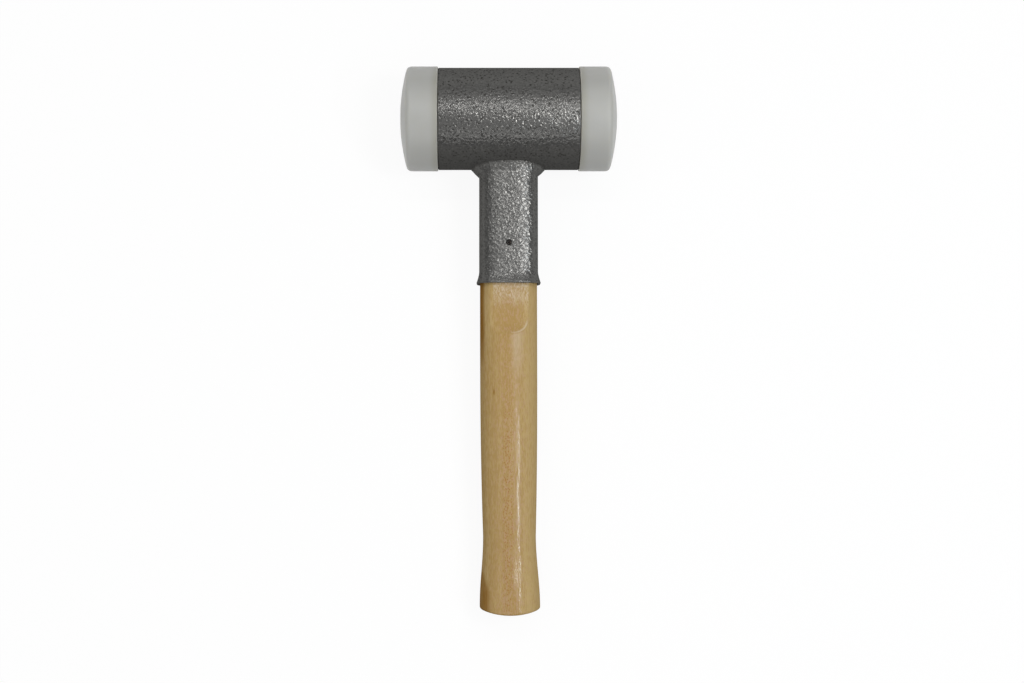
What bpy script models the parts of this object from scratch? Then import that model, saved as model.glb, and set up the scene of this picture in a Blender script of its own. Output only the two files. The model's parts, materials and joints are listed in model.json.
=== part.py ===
"""Dead blow hammer: a shot-filled steel head with nylon faces on a wooden handle.

Metres, +Z up. The hammer is built round its head: the head's axis is X, the handle runs
towards -Y and the front cheek looks along +Z. A root empty then lays it on the bench,
resting on both faces and on the butt, with the origin under the middle of its box.
A reach is a distance from the head's axis down the handle.
"""

import math

import bmesh
import bpy
from mathutils import Vector

# Clearances
SEAT_GAP = 0.0003
PIN_GAP = 0.00015
MOUTH_GAP = 0.0004
TENON_END_GAP = 0.002

# Head tube
TUBE_DIAMETER = 0.0585
TUBE_WALL = 0.0032
TUBE_LENGTH = 0.0808
TUBE_EDGE_CHAMFER = 0.0006

# Striking faces
FACE_DIAMETER = 0.060
FACE_LENGTH = 0.0213
CROWN_RADIUS = 0.108
LAND_DIAMETER = 0.016
FACE_EDGE_RADIUS = 0.003
FACE_BACK_CHAMFER = 0.0006
SPIGOT_LENGTH = 0.012
SPIGOT_LEAD = 0.0015

# Bulkheads, pressed from sheet as cups
BULKHEAD_SHEET = 0.002
BULKHEAD_SKIRT = 0.005
BULKHEAD_BEND = 0.001

# Shot charge
SHOT_OUTER_COUNT = 10
SHOT_INNER_COUNT = 4
SHOT_LAYERS = 3

# Handle socket, a tube flattened front and back
SOCKET_WIDTH = 0.0337
SOCKET_DEPTH = 0.0264
SOCKET_WALL = 0.002
SOCKET_REACH = 0.0949
SOCKET_SQUARENESS = 3.0
RIM_WIDTH = 0.0367
RIM_FLARE = 0.0064
RIM_FLARE_POWER = 1.6
RIM_LIP = 0.0011

# Weld round the neck
WELD_SIDE_LEG = 0.0043
WELD_FRONT_LEG = 0.001
WELD_DROP = 0.0042
WELD_CROWN = 0.0003

# Spring pin through the socket and the handle
PIN_REACH = 0.0725
PIN_HOLE = 0.003
PIN_WALL = 0.0005
PIN_SLOT = 0.0005
PIN_SUNK = 0.0008

# Handle
GRIP_WIDTH = 0.0327
GRIP_DEPTH = 0.0284
WAIST_WIDTH = 0.0301
WAIST_DEPTH = 0.0262
BUTT_WIDTH = 0.0344
BUTT_DEPTH = 0.0302
GRIP_SQUARENESS = 2.0
BUTT_REACH = 0.2845
BUTT_DOME_RADIUS = 0.040
BUTT_EDGE_RADIUS = 0.0012
SWELL_LENGTH = 0.0415
TAPER_LENGTH = 0.108
TAPER_POWER = 2.5
TENON_LEAD = 0.0015
CHEEK_THICKNESS = 0.0229
CHEEK_LENGTH = 0.0275
CHEEK_RUNOUT_RADIUS = 0.014

# Facets
ROUND_STEPS = 48
OVAL_STEPS = 48
PIN_STEPS = 20
CROWN_STEPS = 4
EDGE_STEPS = 4
BEND_STEPS = 2
FLARE_STEPS = 4
TAPER_STEPS = 8
SWELL_STEPS = 7
DOME_STEPS = 4
RUNOUT_STEPS = 8
WELD_SEAT_STEPS = 3
WELD_FACE_STEPS = 3
BALL_SUBDIVISIONS = 2
SMOOTH_ANGLE = math.radians(30)
MERGE_DISTANCE = 0.00001

# Places that follow from the sizes
TUBE_RADIUS = TUBE_DIAMETER / 2
TUBE_BORE = TUBE_RADIUS - TUBE_WALL
TUBE_END = TUBE_LENGTH / 2
INNER_RADIUS = TUBE_BORE - SEAT_GAP
FACE_RADIUS = FACE_DIAMETER / 2
FACE_SEAT = TUBE_END + SEAT_GAP
BULKHEAD_PLACE = FACE_SEAT - SPIGOT_LENGTH - SEAT_GAP - BULKHEAD_SKIRT
SADDLE_RADIUS = TUBE_RADIUS + SEAT_GAP
FLARE_START = SOCKET_REACH - RIM_LIP - RIM_FLARE
TENON_TOP = TUBE_RADIUS + TENON_END_GAP
BUTT_DOME_CENTRE = BUTT_REACH - BUTT_DOME_RADIUS
BUTT_EDGE_ACROSS = BUTT_WIDTH / 2 - BUTT_EDGE_RADIUS
BUTT_EDGE_RISE = math.sqrt((BUTT_DOME_RADIUS - BUTT_EDGE_RADIUS) ** 2 - BUTT_EDGE_ACROSS**2)
BUTT_EDGE_REACH = BUTT_DOME_CENTRE + BUTT_EDGE_RISE
WAIST_REACH = BUTT_EDGE_REACH - SWELL_LENGTH
TAPER_START = WAIST_REACH - TAPER_LENGTH
OVERSIZE = FACE_DIAMETER


def clear_scene():
    for thing in list(bpy.data.objects):
        bpy.data.objects.remove(thing, do_unlink=True)


def new_collection(name):
    collection = bpy.data.collections.new(name)
    bpy.context.scene.collection.children.link(collection)
    return collection


def finish(name, colour, roughness, metallic=0.0):
    material = bpy.data.materials.new(name)
    material.use_nodes = True
    shader = material.node_tree.nodes["Principled BSDF"]
    shader.inputs["Base Color"].default_value = (*colour, 1.0)
    shader.inputs["Roughness"].default_value = roughness
    shader.inputs["Metallic"].default_value = metallic
    return material


def add_piece(name, mesh, collection, material=None, parent=None):
    piece = bpy.data.objects.new(name, mesh)
    collection.objects.link(piece)
    piece.parent = parent
    if material and not mesh.materials:
        mesh.materials.append(material)
    return piece


def shade_round(mesh):
    mesh.shade_smooth()
    mesh.set_sharp_from_angle(angle=SMOOTH_ANGLE)


def mesh_from(bm, name):
    bmesh.ops.recalc_face_normals(bm, faces=bm.faces)
    mesh = bpy.data.meshes.new(name)
    bm.to_mesh(mesh)
    bm.free()
    shade_round(mesh)
    return mesh


def turned_mesh(name, profile, closed=False, steps=ROUND_STEPS):
    """A profile of (radius, height) points, down its outer side, spun round Z by a Screw."""
    last = len(profile) - 1
    edges = [(i, i + 1) for i in range(last)] + ([(last, 0)] if closed else [])
    outline = bpy.data.meshes.new(name + "_profile")
    outline.from_pydata([(radius, 0.0, height) for radius, height in profile], edges, [])
    lathe = bpy.data.objects.new(name + "_lathe", outline)
    bpy.context.scene.collection.objects.link(lathe)
    screw = lathe.modifiers.new("turn", "SCREW")
    screw.steps = screw.render_steps = steps
    screw.use_merge_vertices = True
    screw.merge_threshold = MERGE_DISTANCE
    bpy.context.view_layer.update()
    evaluated = lathe.evaluated_get(bpy.context.evaluated_depsgraph_get())
    mesh = bpy.data.meshes.new_from_object(evaluated)
    mesh.name = name
    bpy.data.objects.remove(lathe, do_unlink=True)
    shade_round(mesh)
    return mesh


def arc(centre, radius, start, end, steps):
    """Points of an arc round centre, from angle start to angle end, both included."""
    turns = [start + (end - start) * i / steps for i in range(steps + 1)]
    return [(centre[0] + radius * math.cos(t), centre[1] + radius * math.sin(t)) for t in turns]


def oval_point(half_width, half_depth, squareness, turn):
    """A point of a superellipse: squareness 2 is an ellipse, more flattens its sides."""
    across, deep = math.cos(turn), math.sin(turn)
    power = 2 / squareness
    return (
        half_width * math.copysign(abs(across) ** power, across),
        half_depth * math.copysign(abs(deep) ** power, deep),
    )


def oval_ring(bm, section):
    reach, half_width, half_depth, squareness = section
    ring = []
    for step in range(OVAL_STEPS):
        x, z = oval_point(half_width, half_depth, squareness, math.tau * step / OVAL_STEPS)
        ring.append(bm.verts.new((x, -reach, z)))
    return ring


def bridge(bm, first, second):
    for i in range(len(first)):
        j = (i + 1) % len(first)
        bm.faces.new((first[i], first[j], second[j], second[i]))


def loft_mesh(name, sections, tube=False):
    """Oval sections joined in order: a solid with flat ends, or a tube whose last meets its first."""
    bm = bmesh.new()
    rings = [oval_ring(bm, section) for section in sections]
    for first, second in zip(rings, rings[1:]):
        bridge(bm, first, second)
    if tube:
        bridge(bm, rings[-1], rings[0])
    else:
        bm.faces.new(rings[0])
        bm.faces.new(rings[-1])
    return mesh_from(bm, name)


def cut(piece, cutter):
    boolean = piece.modifiers.new("cut_" + cutter.name, "BOOLEAN")
    boolean.operation = "DIFFERENCE"
    boolean.solver = "EXACT"
    boolean.object = cutter


def add_cutter(name, mesh, collection, root):
    cutter = add_piece(name, mesh, collection, parent=root)
    cutter.hide_render = True
    cutter.display_type = "WIRE"
    return cutter


def add_sided_cutter(name, bm, side, collection, root):
    """A cutter made for the front of the hammer, or turned to its back where side is below 0."""
    cutter = add_cutter(name, mesh_from(bm, name), collection, root)
    if side < 0:
        cutter.rotation_euler.y = math.pi
    return cutter


def new_block(low, high):
    """A box between two corners."""
    low, high = Vector(low), Vector(high)
    bm = bmesh.new()
    bmesh.ops.create_cube(bm, size=1.0)
    bmesh.ops.scale(bm, vec=high - low, verts=bm.verts)
    bmesh.ops.translate(bm, vec=(low + high) / 2, verts=bm.verts)
    return bm


def cylinder_mesh(name, radius, length, steps):
    bm = bmesh.new()
    bmesh.ops.create_cone(
        bm, cap_ends=True, segments=steps, radius1=radius, radius2=radius, depth=length
    )
    return mesh_from(bm, name)


def aim(piece, side):
    """Turns a piece that was spun round Z to the head's axis, its top towards side."""
    piece.rotation_euler = (0.0, side * math.pi / 2, 0.0)


def head_tube_profile():
    bevel = TUBE_EDGE_CHAMFER
    return [
        (TUBE_RADIUS - bevel, TUBE_END),
        (TUBE_RADIUS, TUBE_END - bevel),
        (TUBE_RADIUS, bevel - TUBE_END),
        (TUBE_RADIUS - bevel, -TUBE_END),
        (TUBE_BORE + bevel, -TUBE_END),
        (TUBE_BORE, bevel - TUBE_END),
        (TUBE_BORE, TUBE_END - bevel),
        (TUBE_BORE + bevel, TUBE_END),
    ]


def face_profile():
    """Crowned face with a flat land in the middle, a rounded edge and a spigot below."""
    land = LAND_DIAMETER / 2
    edge = FACE_EDGE_RADIUS
    crown_centre = FACE_LENGTH - math.sqrt(CROWN_RADIUS**2 - land**2)
    edge_across = FACE_RADIUS - edge
    edge_up = math.sqrt((CROWN_RADIUS - edge) ** 2 - edge_across**2)
    lean = math.atan2(edge_up, edge_across)
    land_lean = math.acos(land / CROWN_RADIUS)
    crown = arc((0.0, crown_centre), CROWN_RADIUS, land_lean, lean, CROWN_STEPS)
    rounding = arc((edge_across, crown_centre + edge_up), edge, lean, 0.0, EDGE_STEPS)
    return [
        (0.0, FACE_LENGTH),
        *crown,
        *rounding[1:],
        (FACE_RADIUS, FACE_BACK_CHAMFER),
        (FACE_RADIUS - FACE_BACK_CHAMFER, 0.0),
        (INNER_RADIUS, 0.0),
        (INNER_RADIUS, SPIGOT_LEAD - SPIGOT_LENGTH),
        (INNER_RADIUS - SPIGOT_LEAD, -SPIGOT_LENGTH),
        (0.0, -SPIGOT_LENGTH),
    ]


def bulkhead_profile():
    """A cup whose flat bottom closes the shot chamber and whose skirt meets the spigot."""
    sheet = BULKHEAD_SHEET
    bend = BULKHEAD_BEND
    wall = INNER_RADIUS - sheet
    inside = arc((wall - bend, sheet + bend), bend, -math.pi / 2, 0.0, BEND_STEPS)
    round_by = sheet + bend
    outside = arc((INNER_RADIUS - round_by, round_by), round_by, 0.0, -math.pi / 2, BEND_STEPS)
    return [
        (0.0, sheet),
        *inside,
        (wall, BULKHEAD_SKIRT),
        (INNER_RADIUS, BULKHEAD_SKIRT),
        *outside,
        (0.0, 0.0),
    ]


def add_head_tube(parts, root, paint):
    mesh = turned_mesh("head_tube", head_tube_profile(), closed=True)
    tube = add_piece("head_tube", mesh, parts, paint, root)
    aim(tube, 1)


def add_faces(parts, root, nylon):
    mesh = turned_mesh("striking_face", face_profile())
    for name, side in (("left_face", -1), ("right_face", 1)):
        face = add_piece(name, mesh, parts, nylon, root)
        face.location.x = side * FACE_SEAT
        aim(face, side)


def add_bulkheads(parts, root, steel):
    mesh = turned_mesh("bulkhead", bulkhead_profile())
    for name, side in (("left_bulkhead", -1), ("right_bulkhead", 1)):
        cup = add_piece(name, mesh, parts, steel, root)
        cup.location.x = side * BULKHEAD_PLACE
        aim(cup, side)


def flare(share):
    """How far the bell mouth has opened, 0 at its start to 1 at the rim."""
    return share**RIM_FLARE_POWER


def outer_section(reach, opening):
    spread = opening * (RIM_WIDTH - SOCKET_WIDTH) / 2
    return (reach, SOCKET_WIDTH / 2 + spread, SOCKET_DEPTH / 2 + spread, SOCKET_SQUARENESS)


def bore_section(reach, opening, inset=0.0):
    half_width = SOCKET_WIDTH / 2 - SOCKET_WALL
    half_depth = SOCKET_DEPTH / 2 - SOCKET_WALL
    spread = opening * (GRIP_WIDTH / 2 + MOUTH_GAP - half_width) - inset
    return (reach, half_width + spread, half_depth + spread, SOCKET_SQUARENESS)


def flare_stations():
    """Reach and opening along the bell mouth."""
    shares = [i / FLARE_STEPS for i in range(FLARE_STEPS + 1)]
    return [(FLARE_START + RIM_FLARE * share, flare(share)) for share in shares]


def lip_stations():
    """Reach and opening round the outside of the lip, as a quarter of an ellipse."""
    leads = [math.pi / 2 * i / EDGE_STEPS for i in range(1, EDGE_STEPS)]
    lip_start = SOCKET_REACH - RIM_LIP
    drop = RIM_LIP / (RIM_WIDTH - SOCKET_WIDTH)
    return [(lip_start + RIM_LIP * math.sin(a), 1 - drop * (1 - math.cos(a))) for a in leads]


def socket_blank_top():
    """A reach inside the head tube, above the whole of the fish mouth."""
    return math.sqrt(TUBE_RADIUS**2 - (SOCKET_DEPTH / 2) ** 2) - 2 * SOCKET_WALL


def bore_sections(top, bottom, inset=0.0):
    straight = [bore_section(top, 0.0, inset)]
    mouth = [bore_section(reach, opening, inset) for reach, opening in flare_stations()]
    return straight + mouth + [bore_section(bottom, 1.0, inset)]


def add_handle_socket(parts, cutters, root, paint):
    """Fish-mouthed where it meets the head tube, bell-mouthed where the handle goes in."""
    top = socket_blank_top()
    outside = [outer_section(top, 0.0)]
    outside += [outer_section(reach, opening) for reach, opening in flare_stations()]
    outside += [outer_section(reach, opening) for reach, opening in lip_stations()]
    inside = bore_sections(top, SOCKET_REACH)
    mesh = loft_mesh("handle_socket", outside + inside[::-1], tube=True)
    socket = add_piece("handle_socket", mesh, parts, paint, root)
    saddle = cylinder_mesh("saddle_cutter", SADDLE_RADIUS, OVERSIZE, 2 * ROUND_STEPS)
    saddle_cutter = add_cutter("saddle_cutter", saddle, cutters, root)
    aim(saddle_cutter, 1)
    cut(socket, saddle_cutter)
    return socket


def saddle_reach(z):
    """Reach of the weld's seat on the head tube, at depth z."""
    return math.sqrt(SADDLE_RADIUS**2 - z**2)


def weld_section(turn):
    """The bead's outline at one turn round the neck: root, along the tube to the toe, down to the heel."""
    half_width = SOCKET_WIDTH / 2 + SEAT_GAP
    half_depth = SOCKET_DEPTH / 2 + SEAT_GAP
    root = Vector(oval_point(half_width, half_depth, SOCKET_SQUARENESS, turn))
    toe = Vector(
        oval_point(half_width + WELD_SIDE_LEG, half_depth + WELD_FRONT_LEG, SOCKET_SQUARENESS, turn)
    )
    points = []
    for i in range(WELD_SEAT_STEPS + 1):
        x, z = root.lerp(toe, i / WELD_SEAT_STEPS)
        points.append(Vector((x, -saddle_reach(z), z)))
    heel = points[0] - Vector((0.0, WELD_DROP, 0.0))
    face_start = points[-1]
    outward = Vector((toe.x - root.x, 0.0, toe.y - root.y)).normalized()
    bulge = (outward - Vector((0.0, 1.0, 0.0))).normalized() * WELD_CROWN
    for i in range(1, WELD_FACE_STEPS + 1):
        share = i / WELD_FACE_STEPS
        points.append(face_start.lerp(heel, share) + bulge * 4 * share * (1 - share))
    return points


def add_neck_weld(parts, root, paint):
    """A fillet bead that rides up and down the saddle where the flat-sided socket meets the round tube."""
    bm = bmesh.new()
    rings = []
    for step in range(OVAL_STEPS):
        rings.append([bm.verts.new(point) for point in weld_section(math.tau * step / OVAL_STEPS)])
    for first, second in zip(rings, rings[1:] + rings[:1]):
        bridge(bm, first, second)
    add_piece("neck_weld", mesh_from(bm, "neck_weld"), parts, paint, root)


def grip_half_size(reach, grip, waist, butt):
    """Half the handle's width or depth: straight, drawn in to the waist, then swelled to the butt."""
    if reach <= TAPER_START:
        return grip / 2
    if reach <= WAIST_REACH:
        share = (reach - TAPER_START) / TAPER_LENGTH
        return (grip - (grip - waist) * share**TAPER_POWER) / 2
    share = (reach - WAIST_REACH) / SWELL_LENGTH
    return (waist + (butt - waist) * (1 - math.cos(math.pi * share)) / 2) / 2


def handle_section(reach):
    half_width = grip_half_size(reach, GRIP_WIDTH, WAIST_WIDTH, BUTT_WIDTH)
    half_depth = grip_half_size(reach, GRIP_DEPTH, WAIST_DEPTH, BUTT_DEPTH)
    return (reach, half_width, half_depth, GRIP_SQUARENESS)


def butt_sections():
    """The butt's rounded edge, then its dome, each an inset of the last full section."""
    lean = math.atan2(BUTT_EDGE_RISE, BUTT_EDGE_ACROSS)
    edge_centre = (BUTT_EDGE_ACROSS, BUTT_EDGE_REACH)
    outline = arc(edge_centre, BUTT_EDGE_RADIUS, 0.0, lean, EDGE_STEPS)
    dome = arc((0.0, BUTT_DOME_CENTRE), BUTT_DOME_RADIUS, lean, math.pi / 2, DOME_STEPS)
    outline += dome[1:-1]
    slim = BUTT_DEPTH / BUTT_WIDTH
    return [(reach, across, across * slim, GRIP_SQUARENESS) for across, reach in outline]


def handle_sections():
    """The handle's oval blank from the top of the tenon to the butt."""
    taper = [TAPER_START + TAPER_LENGTH * i / TAPER_STEPS for i in range(TAPER_STEPS + 1)]
    swell = [WAIST_REACH + SWELL_LENGTH * i / SWELL_STEPS for i in range(1, SWELL_STEPS)]
    return [handle_section(reach) for reach in [TENON_TOP, *taper, *swell]] + butt_sections()


def add_tenon_cutter(cutters, root):
    """A sleeve round the tenon, its hole the socket's bore less the seat gap, with a lead at the top."""
    above = TENON_TOP - SEAT_GAP
    below = SOCKET_REACH + SEAT_GAP
    hole = bore_sections(TENON_TOP + TENON_LEAD, below, SEAT_GAP)
    lead = bore_section(above, 0.0, SEAT_GAP + TENON_LEAD + SEAT_GAP)
    around = [(reach, OVERSIZE / 2, OVERSIZE / 2, GRIP_SQUARENESS) for reach in (below, above)]
    mesh = loft_mesh("tenon_cutter", [lead, *hole, *around], tube=True)
    return add_cutter("tenon_cutter", mesh, cutters, root)


def add_cheek_cutter(name, side, cutters, root):
    """A block that planes one cheek flat, its lower edge rounded as the cutter runs out."""
    depth_of_cut = (GRIP_DEPTH - CHEEK_THICKNESS) / 2
    radius = CHEEK_RUNOUT_RADIUS
    run = math.sqrt(2 * radius * depth_of_cut - depth_of_cut**2)
    bottom = SOCKET_REACH + CHEEK_LENGTH - run + radius
    near = CHEEK_THICKNESS / 2
    bm = new_block(
        (-OVERSIZE / 2, -bottom, near), (OVERSIZE / 2, -FLARE_START, near + OVERSIZE / 2)
    )
    low_edge = [
        edge
        for edge in bm.edges
        if all(math.isclose(v.co.y, -bottom, abs_tol=1e-6) for v in edge.verts)
        and all(math.isclose(v.co.z, near, abs_tol=1e-6) for v in edge.verts)
    ]
    bmesh.ops.bevel(
        bm, geom=low_edge, offset=radius, segments=RUNOUT_STEPS, profile=0.5, affect="EDGES"
    )
    return add_sided_cutter(name, bm, side, cutters, root)


def add_mouth_cutter(name, side, cutters, root):
    """A block that dresses the cheek a little deeper where the mouth covers it, so that it enters freely."""
    near = CHEEK_THICKNESS / 2 - SEAT_GAP
    below = SOCKET_REACH + 2 * SEAT_GAP
    bm = new_block(
        (-OVERSIZE / 2, -below, near), (OVERSIZE / 2, -FLARE_START, near + OVERSIZE / 2)
    )
    return add_sided_cutter(name, bm, side, cutters, root)


def add_handle(parts, cutters, root, wood):
    handle = add_piece("handle", loft_mesh("handle", handle_sections()), parts, wood, root)
    cut(handle, add_tenon_cutter(cutters, root))
    for name, side in (("front", 1), ("back", -1)):
        cut(handle, add_cheek_cutter(name + "_cheek_cutter", side, cutters, root))
        cut(handle, add_mouth_cutter(name + "_mouth_cutter", side, cutters, root))
    return handle


def add_socket_pin(parts, cutters, root, steel, pierced):
    """A slotted spring pin, and the hole it fills through each pierced piece."""
    bore = cylinder_mesh("pin_cutter", PIN_HOLE / 2, OVERSIZE, PIN_STEPS)
    bore_cutter = add_cutter("pin_cutter", bore, cutters, root)
    bore_cutter.location.y = -PIN_REACH
    for piece in pierced:
        cut(piece, bore_cutter)
    radius = PIN_HOLE / 2 - PIN_GAP
    half_length = SOCKET_DEPTH / 2 - PIN_SUNK
    wall = [
        (radius, half_length),
        (radius, -half_length),
        (radius - PIN_WALL, -half_length),
        (radius - PIN_WALL, half_length),
    ]
    mesh = turned_mesh("socket_pin", wall, closed=True, steps=PIN_STEPS)
    pin = add_piece("socket_pin", mesh, parts, steel, root)
    pin.location.y = -PIN_REACH
    half_slot = PIN_SLOT / 2
    slot = new_block((-half_slot, -PIN_HOLE, -OVERSIZE / 2), (half_slot, 0.0, OVERSIZE / 2))
    slot_cutter = add_cutter("slot_cutter", mesh_from(slot, "slot_cutter"), cutters, root)
    slot_cutter.location.y = -PIN_REACH
    cut(pin, slot_cutter)


def shot_diameter():
    """The largest ball that lets the inner ring sit inside the outer ring, and both inside the tube."""
    inner = 0.5 / math.sin(math.pi / SHOT_INNER_COUNT)
    outer = math.sin(math.pi / SHOT_OUTER_COUNT)
    by_inner_ring = (INNER_RADIUS - SEAT_GAP * (1 + inner)) / (1.5 + inner)
    by_outer_ring = (2 * INNER_RADIUS * outer - SEAT_GAP) / (1 + outer)
    return min(by_inner_ring, by_outer_ring)


def shot_rings():
    """Radius and count of the outer and the inner ring of a layer."""
    ball = shot_diameter()
    inner = (ball + SEAT_GAP) / (2 * math.sin(math.pi / SHOT_INNER_COUNT))
    return ((INNER_RADIUS - ball / 2, SHOT_OUTER_COUNT), (inner, SHOT_INNER_COUNT))


def shot_layer_pitch():
    """Layers nest half a step round from each other, so they lie closer than a ball apart."""
    apart = shot_diameter() + SEAT_GAP
    chords = [2 * radius * math.sin(math.pi / (2 * count)) for radius, count in shot_rings()]
    return max(math.sqrt(apart**2 - chord**2) for chord in chords)


def shot_travel():
    """How far the charge slides each way from the middle of its chamber."""
    charge = (SHOT_LAYERS - 1) * shot_layer_pitch() + shot_diameter()
    return BULKHEAD_PLACE - SEAT_GAP - charge / 2


def add_shot(parts, root, steel):
    """The charge at mid stroke. Its carrier empty lies on the head's axis, along which it slides."""
    carrier = bpy.data.objects.new("shot_carrier", None)
    parts.objects.link(carrier)
    carrier.parent = root
    bm = bmesh.new()
    bmesh.ops.create_icosphere(bm, subdivisions=BALL_SUBDIVISIONS, radius=shot_diameter() / 2)
    ball_mesh = mesh_from(bm, "shot_ball")
    number = 0
    for layer in range(SHOT_LAYERS):
        x = (layer - (SHOT_LAYERS - 1) / 2) * shot_layer_pitch()
        for radius, count in shot_rings():
            for step in range(count):
                number += 1
                turn = math.tau * (step + 0.5 * (layer % 2)) / count
                ball = add_piece(f"shot_ball_{number:02d}", ball_mesh, parts, steel, carrier)
                ball.location = (x, radius * math.cos(turn), radius * math.sin(turn))


def lay_on_bench(root):
    """Tips the handle down until the butt touches the bench that the faces lie on."""
    contact_depth = BUTT_DEPTH / 2
    span = math.hypot(BUTT_EDGE_REACH, contact_depth)
    tilt = math.asin(FACE_RADIUS / span) - math.atan2(contact_depth, BUTT_EDGE_REACH)
    butt_curve = BUTT_DOME_RADIUS * (BUTT_DEPTH / BUTT_WIDTH) ** 2
    far_end = (BUTT_REACH - butt_curve) * math.cos(tilt) + butt_curve
    root.rotation_euler = (tilt, 0.0, 0.0)
    root.location = (0.0, (far_end - FACE_RADIUS) / 2, FACE_RADIUS)


def print_places(root):
    """The slide's travel and the flat faces, in the bench's frame."""
    bpy.context.view_layer.update()
    cheek_reach = SOCKET_REACH + CHEEK_LENGTH / 3
    places = {
        "right land": (FACE_SEAT + FACE_LENGTH, 0.0, 0.0),
        "front cheek": (0.0, -cheek_reach, CHEEK_THICKNESS / 2),
        "back cheek": (0.0, -cheek_reach, -CHEEK_THICKNESS / 2),
    }
    print(f"shot travel each way {shot_travel():.5f}, ball {shot_diameter():.5f}")
    for name, place in places.items():
        print(name, [round(value, 5) for value in root.matrix_world @ Vector(place)])
    print("front normal", [round(value, 5) for value in root.matrix_world.to_3x3() @ Vector((0, 0, 1))])


def build():
    clear_scene()
    parts = new_collection("dead_blow_hammer")
    cutters = new_collection("dead_blow_hammer_cutters")
    root = bpy.data.objects.new("hammer_root", None)
    parts.objects.link(root)
    paint = finish("hammertone_paint", (0.125, 0.122, 0.118), 0.42, 0.35)
    nylon = finish("nylon", (0.46, 0.46, 0.43), 0.45)
    wood = finish("varnished_wood", (0.45, 0.30, 0.14), 0.35)
    steel = finish("plain_steel", (0.42, 0.42, 0.43), 0.38, 1.0)
    dark_steel = finish("black_spring_steel", (0.03, 0.03, 0.03), 0.5, 0.8)
    add_head_tube(parts, root, paint)
    add_faces(parts, root, nylon)
    add_bulkheads(parts, root, steel)
    socket = add_handle_socket(parts, cutters, root, paint)
    add_neck_weld(parts, root, paint)
    handle = add_handle(parts, cutters, root, wood)
    add_socket_pin(parts, cutters, root, dark_steel, (socket, handle))
    add_shot(parts, root, steel)
    lay_on_bench(root)
    print_places(root)


build()
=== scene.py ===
"""Finishes a dead blow hammer: a painted steel head with nylon faces on a varnished handle.

The hammer's own frame has the head's axis along X, the handle towards -Y and the front cheek
towards +Z. A reach is a distance from the head's axis down the handle. Lengths are in metres,
and in millimetres where a finish follows a place on the hammer.
"""

import json
import math

import bmesh
import bpy
from bpy.props import FloatProperty, FloatVectorProperty, PointerProperty
from mathutils import Matrix, Vector, noise

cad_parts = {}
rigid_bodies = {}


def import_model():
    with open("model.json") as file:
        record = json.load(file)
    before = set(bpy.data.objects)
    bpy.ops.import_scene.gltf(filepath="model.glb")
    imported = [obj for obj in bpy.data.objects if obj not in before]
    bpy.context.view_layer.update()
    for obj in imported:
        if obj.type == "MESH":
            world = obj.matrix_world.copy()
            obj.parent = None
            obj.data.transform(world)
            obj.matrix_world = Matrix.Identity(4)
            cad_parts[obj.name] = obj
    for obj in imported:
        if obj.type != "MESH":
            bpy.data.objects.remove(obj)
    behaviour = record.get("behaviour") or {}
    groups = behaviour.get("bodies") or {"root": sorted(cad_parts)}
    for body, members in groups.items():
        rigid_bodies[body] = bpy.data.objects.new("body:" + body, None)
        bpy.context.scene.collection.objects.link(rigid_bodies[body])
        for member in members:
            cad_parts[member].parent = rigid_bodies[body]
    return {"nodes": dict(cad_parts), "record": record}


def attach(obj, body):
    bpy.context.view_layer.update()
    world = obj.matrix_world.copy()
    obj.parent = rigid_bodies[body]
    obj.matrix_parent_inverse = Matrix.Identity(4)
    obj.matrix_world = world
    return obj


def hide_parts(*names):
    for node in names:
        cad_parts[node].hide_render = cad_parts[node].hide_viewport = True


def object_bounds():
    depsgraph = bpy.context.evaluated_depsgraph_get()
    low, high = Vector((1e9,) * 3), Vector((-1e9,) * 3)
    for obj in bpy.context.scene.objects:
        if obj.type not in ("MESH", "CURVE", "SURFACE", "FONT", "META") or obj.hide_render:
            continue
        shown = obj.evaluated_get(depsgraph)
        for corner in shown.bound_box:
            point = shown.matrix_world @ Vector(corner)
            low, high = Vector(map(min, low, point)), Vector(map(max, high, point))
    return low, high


bl_info = {
    "name": "Dead blow hammer",
    "version": (1, 0, 0),
    "blender": (4, 5, 0),
    "location": "3D View > Sidebar > Hammer",
    "description": "Builds and finishes a dead blow hammer round its measured frame",
    "category": "Add Mesh",
}

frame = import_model()
CAD_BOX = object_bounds()
MILLIMETRE = 0.001

# The view: the photograph's width and the column that the camera faces, in pixels
PHOTO_WIDTH = 1024
VIEW_COLUMN = 476.4
# The place on the hammer that the camera faces, and how far it looks up the handle
VIEW_CENTRE = (-0.01845, -0.1283, 0.0)
VIEW_PITCH = math.radians(2.5)
# The camera's sensor, in millimetres
SENSOR_WIDTH = 36.0

# Lamps as the camera sees them round the middle of the head: place, target and size
LAMPS = {
    "strip": ((0.0, 0.50, 1.15), (0.0, 0.0, 0.0), (1.3, 0.030)),
    "high_strip": ((0.0, 0.94, 0.72), (0.0, 0.0, 0.0), (1.3, 0.20)),
    "low_strip": ((0.0, -0.78, 0.82), (0.0, 0.0, 0.0), (0.9, 0.22)),
    "softbox": ((0.47, 0.0, 1.04), (0.0, -0.05, 0.0), (0.21, 0.25)),
    "lamp": ((0.665, -0.285, 0.99), (0.0, -0.15, 0.0), (0.34, 0.038)),
    "fill": ((-0.85, -0.15, 0.75), (0.0, -0.10, 0.0), (0.7, 0.7)),
}
# The floor: half its width, and its gap under the hammer
FLOOR_HALF = 30.0
FLOOR_GAP = 0.0002

# Fineness of the meshes
SMOOTH_ANGLE = math.radians(35)
MERGE_DISTANCE = 1e-7
TURN_STEPS = 192
EDGE_STEPS = 8
CROWN_STEPS = 24
OVAL_STEPS = 288
SOCKET_STEPS = 12
FLARE_STEPS = 14
HOLE_STEPS = 48
TENON_HOLE_STEPS = 32
WELD_STEPS = 288
BEAD_STEPS = 12
BUTT_STEPS = 24
PIN_STEPS = 48
SHOT_FINENESS = 4
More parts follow.
